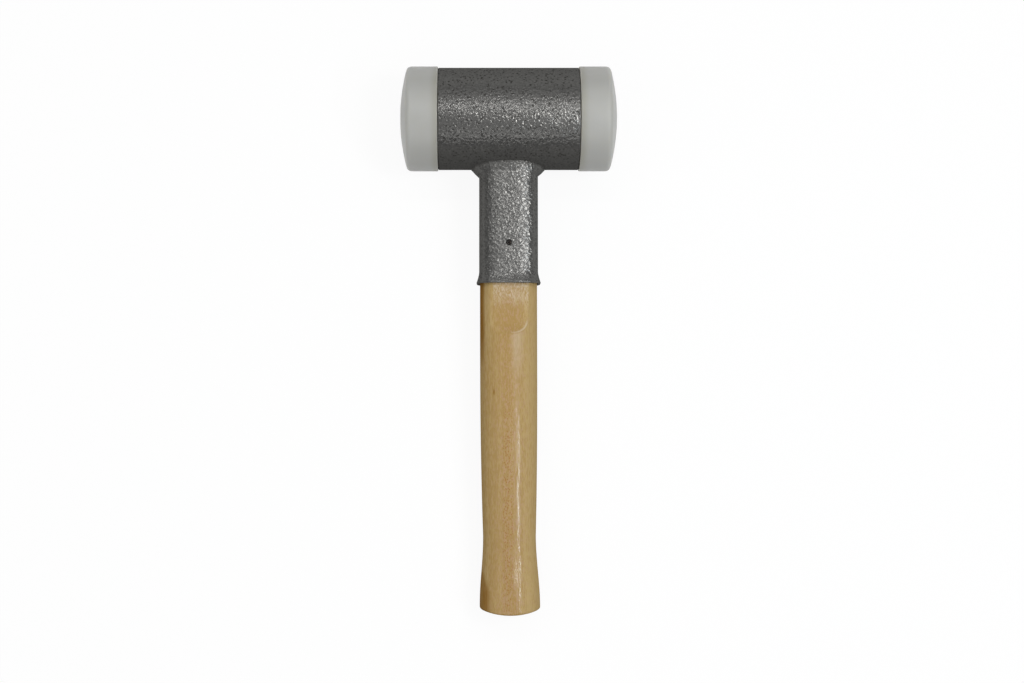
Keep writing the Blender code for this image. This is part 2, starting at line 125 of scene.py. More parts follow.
# Where the handle's rings lie closer: above the rim, and past a cheek's end
MOUTH_ZONE = 0.009
CHEEK_MARGIN = 0.001
# A cheek cuts nothing where the handle's side is turned this far from it, as a sine
LEAST_FACING = 0.05

# Lumps of hand work and casting, to a metre
BEAD_LUMPS = 260.0
BEAD_RIPPLES = 700.0
GRIP_LUMPS = 55.0
SHOT_LUMPS = 420.0
# Lumps round the handle, and a shot lump's depth as a share of the ball
GRIP_LUMPS_AROUND = 2.6
SHOT_LUMP_DEPTH = 0.012
# A cheek's burr: its middle and spread, as shares of the softness of the cheek's edge
BURR_MIDDLE = 0.6
BURR_SPREAD = 0.5

# Each ball of shot is turned on from the last one, round a slanting axis
SHOT_TURN = 2.4
SHOT_AXIS = Vector((1.0, 0.6, 0.3))


def mount(name):
    return next(m for m in frame["record"]["mounts"] if m["name"] == name)


def hammer_matrix():
    """From the hammer's own frame to the bench that it lies on."""
    ends = [Vector(mount(side + "_striking_face")["pos_m"]) for side in ("left", "right")]
    front = Vector(mount("front_cheek")["axis"])
    tilt = math.atan2(-front.y, front.z)
    return Matrix.Translation((ends[0] + ends[1]) / 2) @ Matrix.Rotation(tilt, 4, "X")


HAMMER = hammer_matrix()


def own_box(node):
    """A node's lowest and highest corner in the hammer's own frame."""
    back = HAMMER.inverted()
    points = [back @ vertex.co for vertex in frame["nodes"][node].data.vertices]
    return [Vector([pick(point[i] for point in points) for i in range(3)]) for pick in (min, max)]


TUBE_HALF = own_box("head_tube")[1]
FACE_LOW, FACE_HIGH = own_box("right_face")
CUP_LOW, CUP_HIGH = own_box("right_bulkhead")
SOCKET_LOW, SOCKET_HIGH = own_box("handle_socket")
PIN_LOW, PIN_HIGH = own_box("socket_pin")
HANDLE_HIGH = own_box("handle")[1]

# The hairline behind a face, and how far the rim reaches past the frame's socket
FACE_GAP = 0.00006
RIM_DROP = 0.0006


def length(name, default, description):
    return FloatProperty(
        name=name, description=description, default=default, min=0.0, unit="LENGTH", precision=5
    )


def number(name, default, description):
    return FloatProperty(name=name, description=description, default=default, min=0.0)


def colour(name, default, description):
    return FloatVectorProperty(
        name=name, description=description, default=default, size=3, subtype="COLOR", min=0.0, max=1.0
    )


class HeadSizes(bpy.types.PropertyGroup):
    tube_radius: length("Tube radius", TUBE_HALF.z, "Outside of the head tube")
    tube_half: length("Tube half length", TUBE_HALF.x, "From the handle's line to the tube's end")
    tube_wall: length("Tube wall", 0.0032, "Thickness of the head tube")
    tube_edge: length("Tube edge", 0.0007, "Rounding of the tube's ends")
    face_radius: length("Face radius", FACE_HIGH.z, "Outside of a striking face")
    face_end: length("Face end", FACE_HIGH.x, "From the handle's line to the top of the crown")
    spigot_end: length("Spigot end", FACE_LOW.x, "From the handle's line to the inner end of the spigot")
    face_seat: length("Face seat", TUBE_HALF.x + FACE_GAP, "Where the back of a face lies")
    crown_radius: length("Crown radius", 0.108, "Radius of the domed striking surface")
    land_radius: length("Land radius", 0.008, "Flat in the middle of the crown")
    face_edge: length("Face edge", 0.003, "Rounding between the crown and the side")
    back_edge: length("Back edge", 0.0006, "Rounding of a face where it meets the tube")
    spigot_lead: length("Spigot lead", 0.0015, "Taper at the spigot's end")
    spigot_gap: length("Spigot gap", 0.0003, "Between the spigot and the tube's bore")
    cup_sheet: length("Cup sheet", 0.002, "Thickness of a bulkhead cup")
    cup_bend: length("Cup bend", 0.001, "Inner radius of a cup's bend")


class SocketSizes(bpy.types.PropertyGroup):
    width: length("Socket width", 0.0337, "Across the flattened tube")
    depth: length("Socket depth", 0.0264, "Front to back over the flattened tube")
    wall: length("Socket wall", 0.002, "Thickness of the socket")
    squareness: number("Squareness", 3.6, "2 is an ellipse, more flattens the sides")
    saddle_sink: length("Saddle sink", 0.0004, "How far the socket's top is let into the tube")
    rim_reach: length("Rim reach", RIM_DROP - SOCKET_LOW.y, "From the head's axis to the rim's end")
    rim_half: length("Rim half width", SOCKET_HIGH.x, "Half of the bell mouth's width")
    flare: length("Flare length", 0.0064, "Length of the bell mouth")
    flare_power: number("Flare power", 1.6, "How late the bell mouth opens")
    lip: length("Lip", 0.0008, "Rounding of the rim's end")
    lip_draw: number("Lip draw", 0.55, "How far the rim's end draws in, as a share of its rounding")
    mouth_rise: length("Mouth rise", 0.0002, "From the rim's end to the edge of the opening")
    mouth_half: length("Mouth half width", 0.01675, "Half of the opening that the handle fills")
    left_leg: length("Left weld leg", 0.0048, "Weld's reach along the tube on the left")
    right_leg: length("Right weld leg", 0.0043, "Weld's reach along the tube on the right")
    front_leg: length("Front weld leg", 0.0008, "Weld's reach over the tube at front and back")
    left_drop: length("Left weld drop", 0.0048, "Weld's reach down the socket on the left")
    right_drop: length("Right weld drop", 0.0040, "Weld's reach down the socket on the right")
    front_drop: length("Front weld drop", 0.0048, "Weld's reach down the socket at front and back")
    toe_squareness: number("Toe squareness", 2.4, "The same for the weld's toe")
    weld_crown: length("Weld crown", 0.0001, "Bulge of the bead's surface")
    weld_waver: length("Weld waver", 0.00015, "Unevenness of the hand-laid bead")
    weld_sink: length("Weld sink", 0.0005, "How far the bead is let into the metal under it")
    pin_reach: length("Pin reach", -(PIN_LOW.y + PIN_HIGH.y) / 2, "From the head's axis to the pin")
    pin_radius: length("Pin radius", PIN_HIGH.x, "Outside of the spring pin")
    pin_half: length("Pin half length", PIN_HIGH.z, "Half of the pin's length")
    pin_wall: length("Pin wall", 0.0007, "Thickness of the spring pin")
    pin_slot: length("Pin slot", 0.0005, "Slot down the spring pin")
    pin_lead: length("Pin lead", 0.0003, "Taper at the pin's ends")
    hole_radius: length("Hole radius", 0.0015, "Cross hole for the pin")
    hole_flare: length("Hole flare", 0.0005, "Rounding of the paint round the hole")


class HandleSizes(bpy.types.PropertyGroup):
    tenon_reach: length("Tenon reach", -HANDLE_HIGH.y, "From the head's axis to the tenon's top")
    butt_reach: length("Butt reach", 0.2839, "From the head's axis to the end of the butt")
    grip_width: length("Grip width", 0.0327, "Across the straight part")
    grip_depth: length("Grip depth", 0.0284, "Front to back over the straight part")
    waist_width: length("Waist width", 0.0301, "Across the waist")
    waist_depth: length("Waist depth", 0.0262, "Front to back at the waist")
    butt_width: length("Butt width", 0.0344, "Across the butt")
    butt_depth: length("Butt depth", 0.0302, "Front to back at the butt")
    swell: length("Swell length", 0.0415, "From the waist to the edge of the butt")
    taper: length("Taper length", 0.108, "From the straight part to the waist")
    taper_power: number("Taper power", 2.5, "How late the taper draws in")
    end_radius: length("End radius", 0.043, "Radius of the butt's end from side to side")
    end_depth_radius: length("End depth radius", 0.160, "Radius of the butt's end from front to back")
    sweep: length("Sweep", 0.0007, "How far the butt stands to the right of the handle's line")
    butt_edge: length("Butt edge", 0.0012, "Rounding of the butt's edge")
    cheek_thickness: length("Cheek thickness", 0.0229, "Front to back over the planed cheeks")
    cheek_length: length("Cheek length", 0.0284, "From the rim to the end of a cheek")
    runout_radius: length("Run-out radius", 0.014, "Radius of the cutter where a cheek ends")
    tenon_gap: length("Tenon gap", 0.0003, "Between the tenon and the socket's bore")
    cheek_turn: FloatProperty(
        name="Cheek turn", description="How far the cheeks are turned round the handle",
        default=math.radians(4.0), subtype="ANGLE",
    )
    unevenness: length("Unevenness", 0.00014, "How far hand shaping leaves the grip uneven")
    burr: length("Burr", 0.00012, "Height of the raised edge where the right of a cheek runs out")
    edge_softness: length("Edge softness", 0.0005, "How far sanding has eased the cheeks' edges")


class Finishes(bpy.types.PropertyGroup):
    paint: colour("Paint", (0.130, 0.128, 0.122), "Hammertone enamel between the pits")
    paint_low: colour("Paint, darker", (0.103, 0.101, 0.096), "Enamel where the flake lies unevenly")
    # Also the colour of the painted shade on the tube's side towards the handle
    paint_pit_and_shade: colour("Paint pits", (0.040, 0.038, 0.035), "Enamel in the pits, where the flake is thin")
    nylon: colour("Nylon", (0.455, 0.457, 0.438), "Natural nylon")
    # Painted light: the crown is painted paler where it turns away from the lamps
    nylon_crown_painted_light: colour("Nylon crown", (0.51, 0.512, 0.49), "Paler nylon of the crown")
    # Also mixed in for about five millimetres from the tube, darkening the nylon there
    nylon_edge: colour("Nylon edges", (0.36, 0.35, 0.30), "Nylon where it is thin or has yellowed")
    wood: colour("Wood", (0.49, 0.354, 0.156), "Varnished wood between the grain")
    wood_grain: colour("Wood grain", (0.41, 0.268, 0.098), "Darker streaks of the grain")
    wood_heart: colour("Heartwood", (0.25, 0.118, 0.018), "Dark streak along the handle's side")
    wood_fleck: colour("Wood flecks", (0.36, 0.155, 0.045), "Short rays that show as brown flecks")
    wood_blush: colour("Wood blush", (0.49, 0.315, 0.195), "Pinker patches")
    # Painted highlights: glints of the dry grain under the rim, the bright edge where a cheek runs out,
    # and the sheen below it
    wood_painted_highlight: colour("Raised grain", (0.62, 0.52, 0.39), "Dry fibres on the cheeks under the rim")
    pin: colour("Pin", (0.022, 0.020, 0.018), "Blackened spring steel")
    rust: colour("Rust", (0.07, 0.035, 0.016), "Trace of rust on the pin")
    steel: colour("Steel", (0.42, 0.42, 0.43), "Bare steel inside the head")
    bruise: colour("Bruises", (0.62, 0.61, 0.59), "Bare steel where it has been knocked")


class StageSettings(bpy.types.PropertyGroup):
    floor: colour("Floor", (0.60, 0.60, 0.60), "Pale floor, as it lights the hammer")
    backdrop: colour("Backdrop", (0.97, 0.97, 0.97), "Pale floor, as the camera sees it")
    backdrop_share: number("Backdrop share", 0.92, "How far the floor shows plain white to the camera")
    sky_low: number("Sky at the sides", 0.11, "Light between the horizon and overhead")
    sky_high: number("Sky overhead", 0.60, "Light from above")
    strip_power: number("Strip power", 2.8, "Watts of the long strip lamp beyond the head")
    high_strip_power: number("High strip power", 0.85, "Watts of the strip lamp far beyond the head")
    low_strip_power: number("Low strip power", 1.1, "Watts of the strip lamp below the handle")
    softbox_power: number("Softbox power", 3.4, "Watts of the soft lamp beside the camera")
    lamp_power: number("Lamp power", 1.75, "Watts of the narrow lamp on the right")
    lamp_tint: colour("Lamp tint", (0.82, 0.92, 1.0), "Colour of the narrow lamp")
    fill_power: number("Fill power", 1.7, "Watts of the broad lamp on the left")
    lens: FloatProperty(name="Lens", description="Focal length in millimetres", default=65.0, min=1.0)
    distance: length("Camera distance", 1.06, "From the hammer's plane to the camera")


def operator(operation):
    """A method of a wire that adds a Math node."""
    return lambda wire, other=0.0: wire.nodes.math(operation, wire, other)


class Wire:
    """A socket among a tree's nodes. Arithmetic on it adds Math nodes."""

    def __init__(self, nodes, socket):
        self.nodes = nodes
        self.socket = socket

    def out(self, index):
        """Another output of the same node."""
        return Wire(self.nodes, self.socket.node.outputs[index])

    def __rsub__(self, other):
        return self.nodes.math("SUBTRACT", other, self)

    __add__ = __radd__ = operator("ADD")
    __sub__ = operator("SUBTRACT")
    __mul__ = __rmul__ = operator("MULTIPLY")
    __truediv__ = operator("DIVIDE")
    __pow__ = operator("POWER")
    __abs__ = operator("ABSOLUTE")


class Nodes:
    """A tree of nodes being made."""

    def __init__(self, tree):
        self.tree = tree

    def feed(self, socket, value):
        """Links a wire to a socket, or sets the socket's own value. A colour is three numbers."""
        if isinstance(value, Wire):
            self.tree.links.new(value.socket, socket)
        elif socket.type == "RGBA":
            socket.default_value = (*value, 1.0)
        else:
            socket.default_value = value

    def node(self, kind, settings=None, inputs=None, output=0):
        """A node of any kind: its settings first, then the values or links of its sockets."""
        made = self.tree.nodes.new(kind)
        for name, value in (settings or {}).items():
            setattr(made, name, value)
        for key, value in (inputs or {}).items():
            self.feed(made.inputs[key], value)
        return Wire(self, made.outputs[output])

    def math(self, operation, first, second=0.0):
        return self.node("ShaderNodeMath", {"operation": operation}, {0: first, 1: second})

    def greater(self, first, second):
        return self.math("MAXIMUM", first, second)

    def vector_math(self, operation, first, second):
        """Maths on vectors, where SCALE takes a number for its second value."""
        key = "Scale" if operation == "SCALE" else 1
        return self.node("ShaderNodeVectorMath", {"operation": operation}, {0: first, key: second})

    def places(self):
        """Object coordinates in millimetres."""
        spot = self.node("ShaderNodeTexCoord", output=3)
        return self.vector_math("SCALE", spot, 1 / MILLIMETRE)

    def parts(self, vector):
        """The X, Y and Z of a vector."""
        x = self.node("ShaderNodeSeparateXYZ", None, {0: vector})
        return x, x.out(1), x.out(2)

    def stretched(self, vector, scale):
        return self.vector_math("MULTIPLY", vector, scale)

    def moved(self, vector, shift, amount):
        """A vector pushed about by a colour whose middle is grey."""
        centred = self.vector_math("SUBTRACT", shift, (0.5, 0.5, 0.5))
        return self.vector_math("ADD", vector, self.vector_math("SCALE", centred, amount))

    def noise(self, vector, scale, detail=2.0, roughness=0.5, output=0):
        """Cloudy noise, with scale clouds to a unit of the vector."""
        inputs = {"Vector": vector, "Scale": scale, "Detail": detail, "Roughness": roughness}
        return self.node("ShaderNodeTexNoise", None, inputs, output)

    def cells(self, vector, scale, output=0):
        """Distance to the middle of the nearest cell, with scale cells to a unit of the vector."""
        return self.node("ShaderNodeTexVoronoi", None, {"Vector": vector, "Scale": scale}, output)

    def step(self, value, low, high):
        """0 below low, 1 above high, smooth between them."""
        inputs = {"Value": value, "From Min": low, "From Max": high}
        return self.node("ShaderNodeMapRange", {"interpolation_type": "SMOOTHSTEP"}, inputs)

    def fade(self, value, low, high):
        """1 below low, 0 above high, smooth between them."""
        return 1 - self.step(value, low, high)

    def slant(self):
        """0 where a surface faces the eye, 1 where it turns away."""
        return self.node("ShaderNodeLayerWeight", None, {"Blend": 0.5}, 1)

    def mix(self, share, first, second):
        return self.node("ShaderNodeMix", {"data_type": "RGBA"}, {0: share, 6: first, 7: second}, 2)

    def bump(self, height, depth):
        """A normal from a height, where a height of 1 stands depth metres proud."""
        return self.node("ShaderNodeBump", None, {"Strength": 1.0, "Distance": depth, "Height": height})


class Finish(Nodes):
    """A material being made: its nodes, and the shader that they feed."""

    def __init__(self, name):
        self.material = bpy.data.materials.new(name)
        self.material.use_nodes = True
        super().__init__(self.material.node_tree)
        self.shader = self.tree.nodes["Principled BSDF"]

    def shade(self, **inputs):
        """Feeds the shader, where base_color stands for Base Color, and gives the material."""
        for name, value in inputs.items():
            socket = name.replace("_", " ").title().replace("Ior", "IOR")
            self.feed(self.shader.inputs[socket], value)
        return self.material


def paint_finish(name, tints):
    """Hammertone enamel: ripples on the head, rounded dimples on the socket and dark pits.

    The flake shines face on, and is dull on the weld and at the rim. Shade is painted along the tube's
    side towards the handle, beside the weld.
    """
    paint = Finish(name)
    place = paint.places()
    y, z = paint.parts(place)[1:]
    reach = -1 * y
    on_socket = paint.step(reach, 22.0, 28.0)
    on_tube = paint.fade((y * y + z * z) ** 0.5, 29.6, 30.4)
    on_weld = paint.step(reach, 21.0, 24.0) * paint.fade(reach, 27.5, 30.5)
    # Painted shade: the tube darkens on its side towards the handle, beside the weld
    painted_shade_beside_weld = on_tube * paint.step(reach, 16.5, 22.5)
    at_rim = paint.step(reach, 88.5, 92.0)

    ripple = paint.noise(place, scale=0.72, detail=1.0)
    drift = paint.noise(place, scale=0.6, detail=1.0, output=1)
    from_middle = paint.cells(paint.moved(place, drift, 0.6), scale=0.62)
    dimples = from_middle * from_middle * 0.66 + ripple * 0.40
    height = ripple + (dimples - ripple) * on_socket
    pits = paint.fade(paint.cells(paint.moved(place, drift, 1.1), scale=0.52), 0.13, 0.43)
    pitted = paint.step(paint.noise(place, scale=0.33, detail=1.0), 0.30, 0.50)
    pits = pits * pitted * (1 - 0.4 * on_socket)

    broad = paint.noise(place, scale=0.06)
    mottle = paint.step(paint.noise(place, scale=0.95), 0.36, 0.64)
    tone = paint.mix(mottle + 0.4 * on_socket, tints.paint_low, tints.paint)
    # Painted shade mixed in beside the weld
    tone = paint.mix(0.48 * painted_shade_beside_weld, tone, tints.paint_pit_and_shade)
    dull = on_weld + 0.55 * at_rim
    flake = paint.fade(paint.slant(), 0.03, 0.33) * (1 - pits * 0.7) * (1 - 0.6 * dull)
    return paint.shade(
        base_color=paint.mix(pits, tone, tints.paint_pit_and_shade),
        roughness=0.19 + 0.04 * broad + 0.075 * on_socket + 0.15 * pits,
        metallic=0.05 + 0.86 * flake,
        specular_ior_level=0.0,
        coat_weight=0.95 * flake,
        coat_roughness=0.40,
        normal=paint.bump(height - pits * 0.30, depth=0.00042),
    )


def nylon_finish(name, tints):
    """Natural nylon: darker and yellower near the tube, yellower where it strikes, and finely turned on
    the crown, which is painted paler as painted light.
    """
    nylon = Finish(name)
    place = nylon.places()
    x, y, z = nylon.parts(place)
    along = abs(x)
    across = (y * y + z * z) ** 0.5
    cloud = nylon.noise(place, scale=0.09, detail=3.0)
    speckle = nylon.noise(place, scale=2.4)
    # Darker and yellower for about five millimetres from the tube
    seam = nylon.fade(along, 40.9, 46.0)
    crown_radius = bpy.context.scene.hammer_head.crown_radius / MILLIMETRE
    crown = nylon.step(along + across * across / (2 * crown_radius), 61.72, 61.98)
    struck = nylon.step(along, 60.0, 62.0)
    yellow = seam * 0.75 + crown * 0.05 + struck * 0.3 + 0.18 * cloud
    # Painted light: the crown is painted paler
    tone = nylon.mix(crown, tints.nylon, tints.nylon_crown_painted_light)
    turning_marks = nylon.math("SINE", across * 9.0) * crown
    return nylon.shade(
        base_color=nylon.mix(yellow, tone, tints.nylon_edge),
        roughness=0.36 + 0.10 * cloud,
        subsurface_weight=0.7,
        subsurface_radius=(1.0, 0.95, 0.8),
        subsurface_scale=0.009,
        normal=nylon.bump(turning_marks * 0.25 + speckle * 0.5, depth=0.00002),
    )


class HandleWood(Finish):
    """Varnished beech being made: the grain and the planed cheeks, then each of its markings."""

    def __init__(self, name, handle):
        super().__init__(name)
        self.place = self.places()
        self.x, y, self.z = self.parts(self.place)
        self.reach = -1 * y
        self.front = self.step(self.z, 0.0, 2.0)
        self.middle = self.line(-0.6, 1.6, 4.2)
        self.fibres = self.grain(across=1.9, along=0.05, detail=3.0, roughness=0.6)
        self.mottle = self.grain(across=0.5, along=0.12, detail=3.0, roughness=0.6)
        self.dashes = self.grain(across=2.7, along=0.58, roughness=0.6)
        self.streaks = self.wandering_streaks()

        # The planed cheeks: raised dry grain near the rim, whose glints are painted pale as painted
        # highlights, and browner below
        self.short = self.short_of_cheek(handle)
        cut = self.short - 0.05 * self.greater(-1 * self.x, 0.0)
        self.cheek = self.fade(cut, 0.2, 0.5) * self.fade(self.reach, 122.0, 124.0)
        self.dry_grain_glints = self.cheek * self.fade(self.reach + 12.0 * self.mottle, 106.0, 118.0)
        self.brown = self.cheek * self.step(self.reach + 6.0 * self.mottle, 106.0, 114.0)

        # The end grain of the butt
        facing = self.parts(self.node("ShaderNodeTexCoord", output=1))[1]
        self.end = self.step(-1 * facing, 0.6, 0.9)

    def line(self, middle, near, far):
        """1 along a line down the handle, 0 to either side of it."""
        return self.fade(abs(self.x - middle), near, far)

    def grain(self, across, along, detail=2.0, roughness=0.5, place=None, output=0):
        """Noise drawn out along the handle, with so many lumps to a millimetre across and along it."""
        drawn = self.stretched(place or self.place, (across, along, across))
        return self.noise(drawn, 1.0, detail, roughness, output)

    def wandering_streaks(self):
        drift = self.grain(across=0.05, along=0.006, output=1)
        place = self.moved(self.place, drift, 5.0)
        return self.grain(across=0.45, along=0.009, roughness=0.6, place=place)

    def short_of_cheek(self, handle):
        """How far the surface lies under the planes of the cheeks and their round run-out."""
        runout_start = 115.5
        radius = handle.runout_radius / MILLIMETRE
        half = handle.cheek_thickness / 2 / MILLIMETRE
        past = self.greater(self.reach - runout_start, 0.0)
        height = half + radius - self.greater(radius**2 - past * past, 0.0) ** 0.5
        return height - abs(self.z * math.cos(handle.cheek_turn) + self.x * math.sin(handle.cheek_turn))

    def flecks(self):
        """Short flecks, closest together down the middle and below the cheeks."""
        place = self.stretched(self.place, (1.25, 0.70, 1.25))
        chance = self.parts(self.cells(place, scale=1.0, output=1))[0]
        flecks = self.fade(self.cells(place, scale=1.0), 0.22, 0.45) * self.step(chance, 0.10, 0.22)
        flecks = flecks * (0.08 + 0.92 * self.middle)
        return flecks * (0.25 + 0.75 * self.step(self.reach, 150.0, 185.0))

    def heart(self):
        """Dark strips on the left, below the rim and at the butt, a knot, and a trace of handling."""
        side = self.fade(self.x + 2.0 * self.fibres, -14.0, -12.4)
        strips = side * self.fade(self.reach + 14.0 * self.mottle, 128.0, 160.0)
        above = self.greater(270.0 - self.reach, 0.0)
        knee = self.fade(self.x + 2.4 * self.fibres + 0.33 * above, -11.6, -8.6)
        strips = strips + knee * self.step(self.reach, 250.0, 262.0) * (0.35 + 0.9 * self.fibres)
        across, along = self.x + 8.5, self.reach - 157.5
        from_knot = (across * across * 3.4 + along * along * 0.16) ** 0.5
        knot = self.fade(from_knot, 0.35, 1.0) * self.front
        handled = self.line(0.5, 3.0, 6.0) * self.step(self.reach, 200.0, 250.0)
        return strips * 0.9 + knot * 0.8 + handled * 0.12

    def pale(self, handle):
        """Painted highlights: the glints of the raised dry grain near the rim, a bright line along the
        right of the edge where a cheek runs out, and a sheen below it.
        """
        dry_grain_glints = self.dry_grain_glints * (0.12 + 0.88 * self.step(self.dashes, 0.43, 0.62))
        half_width, half_depth = handle.grip_width / 2 / MILLIMETRE, handle.grip_depth / 2 / MILLIMETRE
        oval = self.x * self.x / half_width**2 + self.z * self.z / half_depth**2
        # Painted highlight along the right of the edge where a cheek runs out
        painted_edge_highlight = self.fade(abs(self.short), 0.0, 0.34) * self.fade(abs(oval - 1), 0.0, 0.07)
        painted_edge_highlight = painted_edge_highlight * self.step(self.x, -2.0, 4.0) * self.step(self.reach, 115.6, 118.6)
        # Painted sheen on the front below the run-out
        painted_sheen = self.line(4.6, 1.0, 5.0) * self.step(self.short, 0.0, 1.0)
        painted_sheen = painted_sheen * self.fade(self.reach, 128.0, 158.0) * self.front
        return self.greater(dry_grain_glints * 0.75, painted_edge_highlight * 0.75) + painted_sheen * 0.3

    def dark(self):
        """The darker grain, the browner cheeks, painted light across the front, and the year rings on the
        butt's end.
        """
        grit = self.grain(across=1.6, along=0.24, roughness=0.6)
        dark = 0.36 * self.step(self.streaks, 0.36, 0.66) + 0.34 * self.step(self.fibres, 0.45, 0.70)
        dark = dark + 0.70 * self.step(grit, 0.42, 0.60) + 0.15 * self.middle
        # Painted light: darker down the middle and left of the front, lighter on the right side as if lit
        # from there, and a lighter strip on the left below the rim
        dark = dark + 0.30 * self.line(-2.0, 7.0, 10.5) - 0.50 * self.step(self.x, 6.0, 10.0)
        light = self.line(-11.0, 1.5, 4.0) * self.fade(self.reach, 110.0, 135.0)
        dark = dark - 0.45 * light + 0.8 * self.cheek * self.fade(self.dashes, 0.36, 0.50)
        from_pith = ((self.x + 46.0) ** 2.0 + (self.z + 30.0) ** 2.0) ** 0.5
        year = self.math("FRACT", from_pith / 2.6 + 0.5 * self.mottle)
        rings = self.end * self.step(year, 0.5, 0.95)
        return dark + 0.12 * self.brown + 0.5 * self.end + 0.3 * rings

    def blush(self):
        """Pinker patches, most of them down the middle."""
        patches = self.step(self.grain(across=1.2, along=0.40), 0.46, 0.62)
        return patches * (0.25 + 0.3 * self.line(1.0, 3.0, 11.0))

    def relief(self, flecks):
        """Raised grain, with chatter marks of the plane on the cheeks."""
        chatter = self.math("SINE", self.reach * 3.7 + 2.0 * self.mottle) * self.brown
        relief = self.streaks * 0.6 + self.fibres * 0.5 + self.grain(across=3.6, along=0.28) * 0.3
        return relief + self.dashes * self.dry_grain_glints * 0.6 + chatter * 0.15 - flecks * 0.3

    def gloss(self):
        """Varnish that shines in strands where the handle faces the eye, and less on the cheeks."""
        gloss = self.fade(self.slant(), 0.10, 0.35) * (0.1 + 0.9 * self.step(self.reach, 150.0, 190.0))
        strands = self.step(self.grain(across=2.0, along=0.17, roughness=0.6), 0.36, 0.64)
        return gloss * (1 - self.end) * (0.10 + 0.90 * strands)


def wood_finish(name, tints):
    """Varnished beech: grain and flecks, dark strips on the left, raised dry grain under the rim, and
    painted light: highlights near the cheeks and a lighter right side.
    """
    handle = bpy.context.scene.hammer_handle
    wood = HandleWood(name, handle)
    flecks = wood.flecks()
    tone = wood.mix(wood.dark(), tints.wood, tints.wood_grain)
    tone = wood.mix(wood.blush(), tone, tints.wood_blush)
    # Painted highlights mixed into the wood's colour
    tone = wood.mix(wood.pale(handle), tone, tints.wood_painted_highlight)
    tone = wood.mix(flecks * 0.85, tone, tints.wood_fleck)
    return wood.shade(
        base_color=wood.mix(wood.heart(), tone, tints.wood_heart),
        roughness=0.5,
        specular_ior_level=0.0,
        coat_weight=wood.gloss(),
        coat_roughness=0.18,
        normal=wood.bump(wood.relief(flecks), depth=0.00005),
    )


def pin_finish(name, tints):
    """Blackened spring steel with a trace of rust."""
    pin = Finish(name)
    place = pin.places()
    rust = pin.step(pin.noise(place, scale=1.4, detail=3.0), 0.5, 0.7)
    return pin.shade(
        base_color=pin.mix(rust * 0.5, tints.pin, tints.rust),
        roughness=0.45 + 0.2 * rust,
        metallic=0.7 - 0.4 * rust,
        normal=pin.bump(pin.noise(place, scale=6.0), depth=0.00002),
    )


def steel_finish(name, tints):
    """Bare steel that has been knocked about: dull, with pale bruises."""
    steel = Finish(name)
    place = steel.places()
    dull = steel.noise(place, scale=0.5, detail=4.0, roughness=0.6)
    bruise = steel.fade(steel.cells(place, scale=0.7), 0.15, 0.4)
    return steel.shade(
        base_color=steel.mix(bruise * 0.5 + 0.4 * dull, tints.steel, tints.bruise),
        roughness=0.30 + 0.25 * dull,
        metallic=1.0,
        normal=steel.bump(dull - bruise, depth=0.00003),
    )


# Each slot's finish: the name of its material, and what makes it
FINISHES = {
    "hammertone_paint": ("hammertone_enamel", paint_finish),
    "nylon": ("natural_nylon", nylon_finish),
    "varnished_wood": ("varnished_hardwood", wood_finish),
    "black_spring_steel": ("blackened_steel", pin_finish),
    "plain_steel": ("knocked_steel", steel_finish),
}


def finish_for(slot):
    """A slot's finish is made once and shared by the pieces that have it."""
    name, make = FINISHES[slot]
    return bpy.data.materials.get(name) or make(name, bpy.context.scene.hammer_finishes)


def arc(centre, radius, start, end, steps=EDGE_STEPS):
    """Points of an arc round centre, from angle start to angle end, both included."""
    turns = [start + (end - start) * i / steps for i in range(steps + 1)]
    return [(centre[0] + radius * math.cos(t), centre[1] + radius * math.sin(t)) for t in turns]


def add_object(name, data):
    made = bpy.data.objects.new(name, data)
    bpy.context.scene.collection.objects.link(made)
    return made


def smoothed(mesh):
    """A mesh shaded smooth over all but its sharp edges."""
    if not mesh.polygons:
        raise RuntimeError(mesh.name + " came out empty")
    mesh.shade_smooth()
    mesh.set_sharp_from_angle(angle=SMOOTH_ANGLE)
    return mesh


def mesh_from(bm, name):
    bmesh.ops.remove_doubles(bm, verts=bm.verts, dist=MERGE_DISTANCE)
    bmesh.ops.recalc_face_normals(bm, faces=bm.faces)
    mesh = bpy.data.meshes.new(name)
    bm.to_mesh(mesh)
    bm.free()
    return smoothed(mesh)


def turned_mesh(name, profile, closed=False, axis=(1.0, 0.0, 0.0), steps=TURN_STEPS):
    """A profile of (along, radius) points spun round an axis through the origin."""
    bm = bmesh.new()
    axis = Vector(axis)
    out = axis.orthogonal().normalized()
    points = [bm.verts.new(axis * along + out * radius) for along, radius in profile]
    pairs = zip(points, points[1:] + points[:1] if closed else points[1:])
    edges = [bm.edges.new(pair) for pair in pairs]
    bmesh.ops.spin(
        bm, geom=points + edges, cent=(0.0, 0.0, 0.0), axis=axis, angle=math.tau, steps=steps,
        use_merge=True,
    )
    return mesh_from(bm, name)


def loft_mesh(name, rings, around=False):
    """Rings of points joined in order: capped at both ends, or closed where around is set."""
    bm = bmesh.new()
    lines = [[bm.verts.new(point) for point in ring] for ring in rings]
    pairs = list(zip(lines, lines[1:] + lines[:1] if around else lines[1:]))
    for first, second in pairs:
        for i in range(len(first)):
            j = (i + 1) % len(first)
            bm.faces.new((first[i], first[j], second[j], second[i]))
    if not around:
        bm.faces.new(lines[0])
        bm.faces.new(lines[-1])
    return mesh_from(bm, name)


def carved(mesh, cutter_mesh):
    """A mesh with another cut out of it."""
    block = add_object("carve_block", mesh)
    cutter = add_object("carve_cutter", cutter_mesh)
    boolean = block.modifiers.new("carve", "BOOLEAN")
    boolean.operation = "DIFFERENCE"
    boolean.object = cutter
    bpy.context.view_layer.update()
    evaluated = block.evaluated_get(bpy.context.evaluated_depsgraph_get())
    result = bpy.data.meshes.new_from_object(evaluated)
    result.name = mesh.name
    for thing in (block, cutter):
        bpy.data.objects.remove(thing)
    return smoothed(result)


